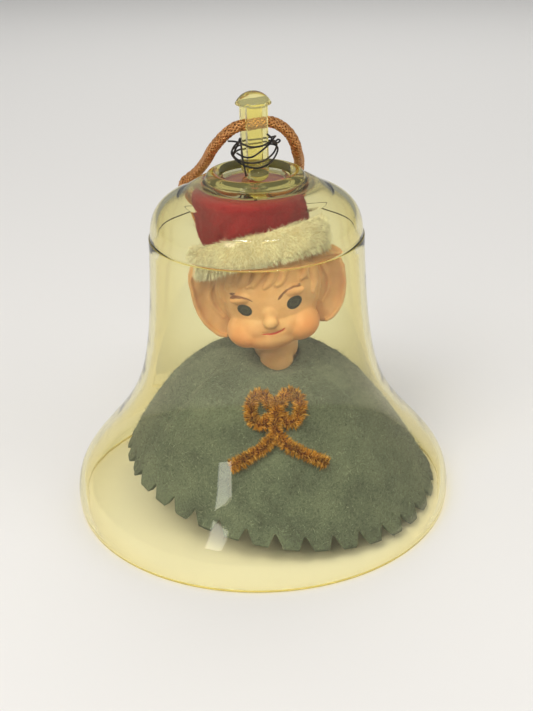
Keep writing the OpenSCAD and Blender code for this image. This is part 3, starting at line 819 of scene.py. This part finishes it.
# ---------------------------------------------------------------- red felt hat
# Soft crimson felt, blocked into a short flat-topped tube that stops just under the bell's crown.
# Its lower edge is glued round the hair, under the plush trim.
hat_r, hat_felt_t = 10.4, 1.0
hat_round = 2.4
hat_top = crown_h - wall - 0.7
brim_turn = head_turn @ np.array(Matrix.Rotation(math.radians(-5), 3, "Y")) @ np.array(
    Matrix.Rotation(math.radians(-17), 3, "X"))
brim_middle = head_turn @ np.array((-0.4, 0.8, 9.4)) + head_middle
hat_lean = np.array((-1.5, 0.4))


def two_skins(outer, inner):
    """Vertices and faces of a closed sheet between two grids of points whose columns go all the way round."""
    rows, columns = outer.shape[:2]
    size = rows * columns
    faces = []
    for r in range(rows - 1):
        for c in range(columns):
            a, b = r * columns + c, r * columns + (c + 1) % columns
            faces.append((a, b, b + columns, a + columns))
            faces.append((size + a + columns, size + b + columns, size + b, size + a))
    for c in range(columns):
        d = (c + 1) % columns
        last = (rows - 1) * columns
        faces.append((size + c, size + d, d, c))
        faces.append((last + c, last + d, size + last + d, size + last + c))
    return np.concatenate([outer.reshape(-1, 3), inner.reshape(-1, 3)]), faces


def ripple(points, size, seed):
    """A smooth random value from -1 to 1 at each point, in lumps of about size millimetres."""
    flat = np.asarray(points).reshape(-1, 3) / size + seed * 7.31
    return np.array([noise.noise(Vector(q)) for q in flat]).reshape(np.asarray(points).shape[:-1])


def scattered(vertices, faces, count, draw):
    """Random places spread evenly over some faces: points and outward directions."""
    corners = np.array([(face[0], face[k], face[k + 1]) for face in faces for k in range(1, len(face) - 1)])
    a, b, c = (np.asarray(vertices)[corners[:, k]] for k in range(3))
    square = np.cross(b - a, c - a)
    area = np.linalg.norm(square, axis=1)
    chosen = draw.choice(len(corners), count, p=area / area.sum())
    u, v = draw.random(count), draw.random(count)
    over = u + v > 1
    u[over], v[over] = 1 - u[over], 1 - v[over]
    points = a[chosen] + (b - a)[chosen] * u[:, None] + (c - a)[chosen] * v[:, None]
    return points, square[chosen] / area[chosen][:, None]


def fibres(roots, ways, length, width, bend, draw):
    """Fine tapered ribbons that stand at roots along ways, each bent over by a random sideways share."""
    count = len(roots)
    stray = draw.normal(size=(count, 3))
    side = np.cross(ways, stray)
    side /= np.linalg.norm(side, axis=1)[:, None] + 1e-9
    length = np.broadcast_to(length, count)[:, None]
    middle = roots + ways * length * 0.55
    tip = roots + ways * length + stray * length * bend
    half = side * width / 2
    vertices = np.stack([roots - half, roots + half, middle + half * 0.8, middle - half * 0.8, tip], 1)
    starts = np.arange(count) * 5
    faces = [face for k in starts.tolist() for face in ((k, k + 1, k + 2, k + 3), (k + 3, k + 2, k + 4))]
    return vertices.reshape(-1, 3), faces


def felt(name, deep, light, grain, sheen):
    """Pressed wool felt: mottled in patches, with fine crossing fibres and a soft nap."""
    material, nodes, links, shader = fresh_finish(name)
    place = nodes.new("ShaderNodeTexCoord")
    patch = placed(nodes, "ShaderNodeTexNoise", {"Scale": 150, "Detail": 4})
    links.new(place.outputs["Object"], patch.inputs["Vector"])
    fibre = placed(nodes, "ShaderNodeTexNoise", {
        "Scale": grain, "Detail": 6, "Roughness": 0.75, "Distortion": 1.6})
    links.new(place.outputs["Object"], fibre.inputs["Vector"])
    mixed = nodes.new("ShaderNodeMath")
    mixed.operation = "MULTIPLY_ADD"
    mixed.inputs[1].default_value = 0.45
    links.new(patch.outputs["Fac"], mixed.inputs[0])
    links.new(fibre.outputs["Fac"], mixed.inputs[2])
    tone = nodes.new("ShaderNodeValToRGB")
    shaded(tone, 0.56, (*deep, 1), 0.90, (*light, 1))
    links.new(mixed.outputs["Value"], tone.inputs["Fac"])
    links.new(tone.outputs["Color"], shader.inputs["Base Color"])
    rough = placed(nodes, "ShaderNodeMapRange", {"To Min": 0.82, "To Max": 1.0})
    links.new(fibre.outputs["Fac"], rough.inputs["Value"])
    links.new(rough.outputs["Result"], shader.inputs["Roughness"])
    bump = placed(nodes, "ShaderNodeBump", {"Strength": 0.9, "Distance": 0.00035})
    links.new(fibre.outputs["Fac"], bump.inputs["Height"])
    links.new(bump.outputs["Normal"], shader.inputs["Normal"])
    shader.inputs["Specular IOR Level"].default_value = 0.15
    shader.inputs["Sheen Weight"].default_value = sheen
    shader.inputs["Sheen Roughness"].default_value = 0.6
    return material


def nap(name, colour):
    """One colour of loose fibre."""
    material, nodes, links, shader = fresh_finish(name)
    place = nodes.new("ShaderNodeTexCoord")
    speck = placed(nodes, "ShaderNodeTexNoise", {"Scale": 420})
    links.new(place.outputs["Object"], speck.inputs["Vector"])
    tone = nodes.new("ShaderNodeValToRGB")
    shaded(tone, 0.3, (*(0.72 * c for c in colour), 1), 0.7, (*(min(1, 1.12 * c) for c in colour), 1))
    links.new(speck.outputs["Fac"], tone.inputs["Fac"])
    links.new(tone.outputs["Color"], shader.inputs["Base Color"])
    shader.inputs["Roughness"].default_value = 0.9
    shader.inputs["Specular IOR Level"].default_value = 0.2
    return material


around = np.linspace(0, 2 * math.pi, 168, endpoint=False)
ring = np.stack([np.cos(around), np.sin(around), np.zeros_like(around)], -1)


def hat_grid(depth):
    """Rings of the hat's outside, or of its inside at a depth, from the lower edge to the top's middle."""
    rows = []
    reach = hat_r - depth
    for low in (0.55, 1.6, 2.7):
        rows.append(brim_middle + (ring * reach + (0, 0, low)) @ brim_turn.T)
    band = rows[-1]
    shoulder = ring * reach + (*hat_lean, hat_top - 2.0)
    for t in np.linspace(0, 1, 15)[1:]:
        rows.append(band * (1 - t) + shoulder * t + ring * 0.25 * math.sin(math.pi * t))
    for a in np.linspace(0, math.pi / 2, 8)[1:]:
        rows.append(ring * (reach - hat_round + hat_round * math.cos(a)) + (*hat_lean,
                                                                hat_top - 2.0 + (1.95 - depth) * math.sin(a)))
    for share in (0.8, 0.6, 0.4, 0.2, 0.01):
        rows.append(ring * (reach - hat_round) * share + (*hat_lean, hat_top - 0.05 - depth))
    return np.array(rows)


hat_outer, hat_inner = hat_grid(0), hat_grid(hat_felt_t)
push = (0.42 * ripple(hat_outer, 5.5, 1) + 0.16 * ripple(hat_outer, 1.9, 2)
        - 0.30 * np.exp(-(ripple(hat_outer * (1, 1, 0.35), 4.5, 3) / 0.12) ** 2))
height = np.clip((hat_top - 0.9 - hat_outer[..., 2]) / 2.2, 0, 1) * np.clip(np.arange(len(hat_outer)) / 4,
                                                                            0, 1)[:, None]
for grid in (hat_outer, hat_inner):
    grid += ring[None] * (push * height)[..., None]
hat_vertices, hat_faces = two_skins(hat_outer, hat_inner)
red_felt = felt("crimson_felt", (0.20, 0.005, 0.011), (0.38, 0.013, 0.022), 2100, 0.15)
red_nap = nap("crimson_nap", (0.42, 0.025, 0.034))
draw = np.random.default_rng(5)
outside = hat_faces[0:2 * 168 * (len(hat_outer) - 1):2]
roots, ways = scattered(hat_vertices, outside, 7000, draw)
ways = ways * 0.5 + draw.normal(size=ways.shape) * 0.6
ways /= np.linalg.norm(ways, axis=1)[:, None]
ways[:, 2] = np.minimum(ways[:, 2], (hat_top - roots[:, 2]) / 0.6)
fuzz_vertices, fuzz_faces = fibres(roots, ways, draw.uniform(0.25, 0.6, len(roots)), 0.035, 0.4, draw)
all_vertices, all_faces, owner = joined([(hat_vertices, hat_faces), (fuzz_vertices, fuzz_faces)])
hat_piece = new_piece("felt_hat", all_vertices, all_faces, (red_felt, red_nap), owner)
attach(hat_piece, "pixie")
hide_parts("hat_felt")


# ---------------------------------------------------------------- plush trim
# A strip of cream plush, glued round the hat's lower edge with its ends butted at the right. The pile is
# combed down and out, matted in places, and a little soiled.
trim_in, trim_out, trim_h = 10.55, 13.5, 5.4
trim_count = 216
trim_around = np.linspace(0, 2 * math.pi, trim_count, endpoint=False)
trim_ring = np.stack([np.cos(trim_around), np.sin(trim_around), np.zeros_like(trim_around)], -1)
section = [((trim_in + trim_out) / 2
            + (trim_out - trim_in) / 2 * np.sign(math.cos(a)) * abs(math.cos(a)) ** 0.7,
            trim_h / 2 * np.sign(math.sin(a)) * abs(math.sin(a)) ** 0.75)
           for a in np.linspace(0, 2 * math.pi, 22, endpoint=False)]
trim_rows = []
for reach, level in section:
    points = trim_ring * reach + (0, 0, level)
    lumps = 0.45 * ripple(points, 3.2, 4) + 0.22 * ripple(points, 1.2, 5)
    outward = np.clip((reach - trim_in) / (trim_out - trim_in), 0, 1)
    points = trim_ring * (reach + lumps * outward)[:, None] + np.stack(
        [np.zeros(trim_count), np.zeros(trim_count), level + 0.3 * lumps * outward], -1)
    trim_rows.append(points)
trim_rows = np.array(trim_rows)
trim_vertices = brim_middle + trim_rows.reshape(-1, 3) @ brim_turn.T
trim_faces = [(r * trim_count + c, r * trim_count + (c + 1) % trim_count,
               (r + 1) % len(section) * trim_count + (c + 1) % trim_count,
               (r + 1) % len(section) * trim_count + c)
              for r in range(len(section)) for c in range(trim_count)]
cream_plush = felt("cream_plush_backing", (0.52, 0.44, 0.30), (0.86, 0.80, 0.64), 1500, 0.3)
cream_pile = nap("cream_pile", (0.95, 0.91, 0.79))
soiled_pile = nap("soiled_pile", (0.72, 0.61, 0.42))
draw = np.random.default_rng(11)
roots, ways = scattered(trim_vertices, [tuple(f) for f in trim_faces], 21000, draw)
local = (roots - brim_middle) @ brim_turn
outward = np.stack([local[:, 0], local[:, 1], np.zeros(len(local))], -1)
outward /= np.linalg.norm(outward, axis=1)[:, None]
level = local[:, 2] / (trim_h / 2)
reach = np.linalg.norm(local[:, :2], axis=1)
keep = reach > trim_in + 0.9
combed = (outward * 0.62 + np.array((0, 0, 1)) * (0.55 * level - 0.42)[:,
        None] + draw.normal(size=local.shape) * 0.20)
clump = 0.35 * np.stack([ripple(local, 1.3, 21 + k) for k in range(3)], -1)
combed += clump
combed /= np.linalg.norm(combed, axis=1)[:, None]
pile_vertices, pile_faces = fibres(local[keep] - outward[keep] * 0.2, combed[keep],
                                   draw.uniform(0.7, 1.25, int(keep.sum())), 0.085, 0.16, draw)
pile_vertices = brim_middle + pile_vertices @ brim_turn.T
dirty = np.repeat(ripple(local[keep], 1.6, 31) + 0.25 * draw.normal(size=int(keep.sum())) > 0.52, 2)
all_vertices, all_faces, owner = joined([(trim_vertices, trim_faces), (pile_vertices, pile_faces)])
trim_piece = new_piece("plush_trim", all_vertices, all_faces, (cream_plush, cream_pile, soiled_pile),
                       [0] * len(trim_faces) + (1 + dirty.astype(int)).tolist())
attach(trim_piece, "pixie")
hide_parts("hat_trim")


# ---------------------------------------------------------------- neck peg
# A turned wooden peg in the neck's bore, with a flange that is glued under the top of the card form.
peg_x, peg_low, peg_top = 3.4, 28.35, 36.5
peg_line = np.array([(0.01, peg_low), (3.9, peg_low), (4.2, peg_low + 0.2), (4.25, peg_low + 0.9),
                     (4.0, peg_low + 1.15),
                     (2.1, peg_low + 1.18), (1.82, peg_low + 1.4), (1.8, peg_low + 4), (1.8, peg_top - 0.5),
                     (1.45, peg_top), (0.01, peg_top)])


def turned_wood(name):
    """Plain pale turned wood with its grain along the peg."""
    material, nodes, links, shader = fresh_finish(name)
    place = nodes.new("ShaderNodeTexCoord")
    along = placed(nodes, "ShaderNodeMapping", {"Scale": (1, 1, 0.12)})
    links.new(place.outputs["Object"], along.inputs["Vector"])
    grain = placed(nodes, "ShaderNodeTexNoise", {"Scale": 1900, "Detail": 5})
    links.new(along.outputs["Vector"], grain.inputs["Vector"])
    tone = nodes.new("ShaderNodeValToRGB")
    tone.color_ramp.elements[0].color = (0.42, 0.25, 0.11, 1)
    tone.color_ramp.elements[1].color = (0.72, 0.52, 0.30, 1)
    links.new(grain.outputs["Fac"], tone.inputs["Fac"])
    links.new(tone.outputs["Color"], shader.inputs["Base Color"])
    bump = placed(nodes, "ShaderNodeBump", {"Strength": 0.4, "Distance": 0.00005})
    links.new(grain.outputs["Fac"], bump.inputs["Height"])
    links.new(bump.outputs["Normal"], shader.inputs["Normal"])
    shader.inputs["Roughness"].default_value = 0.7
    return material


peg_vertices, peg_faces = turned(peg_line, 40, closed=False)
peg_piece = new_piece("neck_peg_turning", peg_vertices + np.array((peg_x, 0, 0)), peg_faces,
                      (turned_wood("pale_wood"),))
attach(peg_piece, "pixie")
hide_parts("neck_peg")


# ---------------------------------------------------------------- card form and felt cape
# The body is a dome of grey card with a cape of sage-green felt glued over it: one piece of felt, cut with
# pinking shears along the hem, butted at the back, and creased on the pixie's right side.
cape_axis = np.array((1.2, 0.8))
cape_top, shoulder_z, hem_low = 31.4, 24.0, 2.0
felt_t, card_t, tooth_h, teeth = 1.1, 0.6, 2.4, 36
neck_x, neck_gap_r = 3.4, 4.4
wall_line = inner_line[np.argsort(inner_line[:, 1])]
shoulder_r = float(np.interp(shoulder_z, wall_line[:, 1], wall_line[:, 0])) - 4.1
hem_r = float(np.interp(hem_low, wall_line[:, 1], wall_line[:, 0])) - 3.2
hem_middle = np.array((3.4, 0, 6.4))
hem_turn = np.array(Matrix.Rotation(math.radians(8.5), 3, "Y")) @ np.array(Matrix.Rotation(math.radians(3),
                                                                                           3, "X"))
cape_line = np.concatenate([
    bezier([(0, cape_top), (0.4 * shoulder_r, cape_top), (0.75 * shoulder_r, shoulder_z + 4.8),
            (shoulder_r, shoulder_z)], 60),
    bezier([(shoulder_r, shoulder_z), (shoulder_r + 4.3, shoulder_z - 4.4), (hem_r - 6.6, hem_low + 10.2),
            (hem_r, hem_low)], 90)[1:], [(hem_r + 1.2, hem_low - 3)]])


def dome_grid(depth, rows, columns, cut):
    """Rings of the dome at a depth under the felt's face, from the neck down to cut above the hem's plane."""
    line = inset(cape_line[::-1], depth)[::-1] if depth else cape_line
    along = np.concatenate([[0], np.cumsum(np.linalg.norm(np.diff(line, axis=0), axis=1))])
    marks = np.linspace(0, along[-1], 900)
    fine = np.stack([np.interp(marks, along, line[:, k]) for k in (0, 1)], -1)
    grid = np.empty((rows, columns, 3))
    to_neck = np.array((neck_x, 0)) - cape_axis
    for c, angle in enumerate(np.arange(columns) * 2 * math.pi / columns):
        way = np.array((math.cos(angle), math.sin(angle)))
        start = to_neck @ way + math.sqrt(neck_gap_r ** 2 - to_neck @ to_neck + (to_neck @ way) ** 2)
        points = np.column_stack([cape_axis + fine[:, :1] * way, fine[:, 1]])
        seen = (points - hem_middle) @ hem_turn
        spread = math.atan2(seen[-1][1], seen[-1][0]) / (2 * math.pi) * teeth
        above = seen[:, 2] - cut(spread - round(spread))
        first = int(np.searchsorted(fine[:, 0], start))
        last = int(np.argmax(above < 0)) if (above < 0).any() else len(fine) - 1
        share = np.linspace(0, 1, rows)
        places = marks[first] + (marks[last] - marks[first]) * share
        grid[:, c] = np.stack([np.interp(places, marks, points[:, k]) for k in range(3)], -1)
    near_throat = ((grid[..., 0] - neck_x) / 3.6) ** 2 + ((grid[..., 1] + 4.6) / 2.8) ** 2
    grid[..., 2] -= 2.3 * np.exp(-near_throat)
    return grid


notch_half = 0.24


def pinked(phase):
    """Height of the hem's cut above its plane, at a share of a tooth from a notch's middle."""
    return tooth_h * max(0.0, 1 - abs(phase) / notch_half) ** 0.9


def outward_of(grid):
    """The outward direction at each point of a dome's grid."""
    down = np.gradient(grid, axis=0)
    turn = np.roll(grid, -1, axis=1) - np.roll(grid, 1, axis=1)
    square = np.cross(down, turn)
    return square / (np.linalg.norm(square, axis=2)[..., None] + 1e-9)


card_outer = dome_grid(felt_t + 0.08, 24, 96, lambda phase: tooth_h + 1.2)
card_inner = dome_grid(felt_t + 0.08 + card_t, 24, 96, lambda phase: tooth_h + 1.2)
card_vertices, card_faces = two_skins(card_outer, card_inner)
grey_card = felt("grey_card", (0.20, 0.18, 0.15), (0.36, 0.33, 0.28), 5200, 0.0)
card_piece = new_piece("card_form", card_vertices, card_faces, (grey_card,))
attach(card_piece, "pixie")
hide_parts("body_form")

cape_columns = teeth * 14
cape_outer = dome_grid(0, 74, cape_columns, pinked)
cape_inner = dome_grid(felt_t, 74, cape_columns, pinked)
outward = outward_of(cape_outer)
spoke = np.arctan2(cape_outer[..., 1] - cape_axis[1], cape_outer[..., 0] - cape_axis[0])
drop = np.linspace(0, 1, 74)[:, None]
lift = 0.30 + 0.30 * ripple(cape_outer * (1, 1, 0.4), 11, 8) + 0.10 * ripple(cape_outer, 3.2, 9)
lift += 0.25 * drop * np.cos(5 * spoke + 0.8) * np.clip(drop * 1.5, 0, 1)
crease_spoke = math.radians(-151) + 0.10 * np.sin(4 * drop)
lift += 0.55 * np.exp(-((spoke - crease_spoke - 0.075) / 0.055) ** 2) * np.clip((drop - 0.22) * 4, 0, 1)
lift -= 0.30 * np.exp(-((spoke - crease_spoke) / 0.035) ** 2) * np.clip((drop - 0.22) * 4, 0, 1)
lift += 0.35 * np.exp(-((spoke - math.radians(97)) / 0.05) ** 2)
lift = np.clip(lift, 0.02, 0.7)
cape_outer += outward * lift[..., None]
cape_inner += outward * lift[..., None]
cape_vertices, cape_faces = two_skins(cape_outer, cape_inner)
green_felt = felt("sage_felt", (0.044, 0.060, 0.054), (0.195, 0.238, 0.205), 2300, 0.2)
pale_nap = nap("pale_green_nap", (0.42, 0.48, 0.42))
dark_nap = nap("dark_green_nap", (0.022, 0.032, 0.024))
draw = np.random.default_rng(17)
roots, ways = scattered(cape_vertices, cape_faces[0:2 * cape_columns * 73:2], 26000, draw)
ways = ways * 0.28 + draw.normal(size=ways.shape) * 0.62
ways /= np.linalg.norm(ways, axis=1)[:, None]
fuzz_vertices, fuzz_faces = fibres(roots, ways, draw.uniform(0.35, 1.0, len(roots)), 0.05, 0.5, draw)
shade = np.repeat(1 + (draw.random(len(roots)) < 0.45), 2)
all_vertices, all_faces, _ = joined([(cape_vertices, cape_faces), (fuzz_vertices, fuzz_faces)])
cape_piece = new_piece("felt_cape_sheet", all_vertices, all_faces, (green_felt, pale_nap, dark_nap),
                       [0] * len(cape_faces) + shade.tolist())
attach(cape_piece, "pixie")
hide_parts("felt_cape")


# ---------------------------------------------------------------- chenille bow
# Two lengths of ochre chenille stem, a twisted wire core with a dense short pile: one is bent into two small
# round loops, the other is folded over their middle and its ends hang as the tails.
bow_x, bow_z = 2.7, 22.1
pile_r, pile_core_r = 1.62, 0.55
chest_line = cape_line[::-1]


def on_chest(x, z, lift):
    """A point in front of the cape at this x and z, lift away from the felt."""
    reach = float(np.interp(z, chest_line[:, 1], chest_line[:, 0])) + lift
    return (x, cape_axis[1] - math.sqrt(reach ** 2 - (x - cape_axis[0]) ** 2), z + 0.45 * lift)


def chenille(lines, draw, density=150):
    """The cores and the pile of chenille stems: parts, and the shade of each face of the pile."""
    parts, roots, ways, lengths = [], [], [], []
    for line in lines:
        parts.append(tube_mesh(line, pile_core_r, 8))
        ahead, side, other = carried_frames(line)
        span = float(np.sum(np.linalg.norm(np.diff(line, axis=0), axis=1)))
        count = int(span * density)
        place = np.sort(draw.random(count)) * (len(line) - 1)
        low = np.minimum(place.astype(int), len(line) - 2)
        share = (place - low)[:, None]
        at = line[low] * (1 - share) + line[low + 1] * share
        angle = (place / (len(line) - 1) * span * 3.1 + (draw.random(count) < 0.5) * math.pi
                 + draw.normal(size=count) * 0.75)
        way = side[low] * np.cos(angle)[:, None] + other[low] * np.sin(angle)[:, None] + ahead[low] * (
            draw.normal(size=count) * 0.22)[:, None]
        roots.append(at)
        ways.append(way / np.linalg.norm(way, axis=1)[:, None])
        lengths.append(pile_r * (0.80 + 0.22 * draw.random(count) + 0.12 * np.sin(place * 1.7)))
    roots, ways, lengths = np.concatenate(roots), np.concatenate(ways), np.concatenate(lengths)
    parts.append(fibres(roots, ways, lengths, 0.26, 0.07, draw))
    fleck = draw.random(len(roots))
    shades = np.where(fleck < 0.16, 2, np.where(fleck < 0.42, 3, 1))
    return parts, np.repeat(shades, 2).tolist()


ochre_core = nap("ochre_core", (0.22, 0.085, 0.012))
ochre_pile = nap("ochre_pile", (0.60, 0.285, 0.030))
brown_pile = nap("brown_pile", (0.20, 0.070, 0.012))
light_pile = nap("light_ochre_pile", (0.84, 0.50, 0.12))
draw = np.random.default_rng(23)
loops_r = 1.85
loop_lines = []
for side in (-1, 1):
    loop = [on_chest(bow_x + side * (loops_r * 1.5 - loops_r * math.cos(a)),
                     bow_z + 4 + 1.02 * loops_r * math.sin(a), 1.45)
            for a in np.linspace(0.28, 2 * math.pi - 0.28, 15)]
    loop_lines.append(smooth_line(loop, 0.3))
tail_points = ([on_chest(bow_x - 8.4 * t, bow_z - 4.4 * t, 1.4) for t in (1, 0.75, 0.5, 0.25)]
               + [on_chest(bow_x, bow_z + 0.5, 1.6)]
               + [on_chest(bow_x + 9.2 * t, bow_z - 4.8 * t, 1.4) for t in (0.25, 0.5, 0.75, 1)])
tail_lines = [smooth_line(tail_points, 0.3),
              smooth_line([on_chest(bow_x + 0.2, bow_z + 5.2, 2.2), on_chest(bow_x + 0.1, bow_z + 3.4, 2.6),
                           on_chest(bow_x - 0.1, bow_z + 1.6, 2.4), on_chest(bow_x, bow_z + 0.6, 1.8)], 0.3)]
for name, lines, node in (("chenille_loops", loop_lines, "bow_loops"),
                          ("chenille_tails", tail_lines, "bow_tails")):
    parts, shades = chenille(lines, draw)
    bow_vertices, bow_faces, owner = joined(parts)
    cores = sum(1 for index in owner if index < len(lines))
    bow_piece = new_piece(name, bow_vertices, bow_faces, (ochre_core, ochre_pile, brown_pile, light_pile),
                          [0] * cores + shades)
    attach(bow_piece, "pixie")
    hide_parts(node)
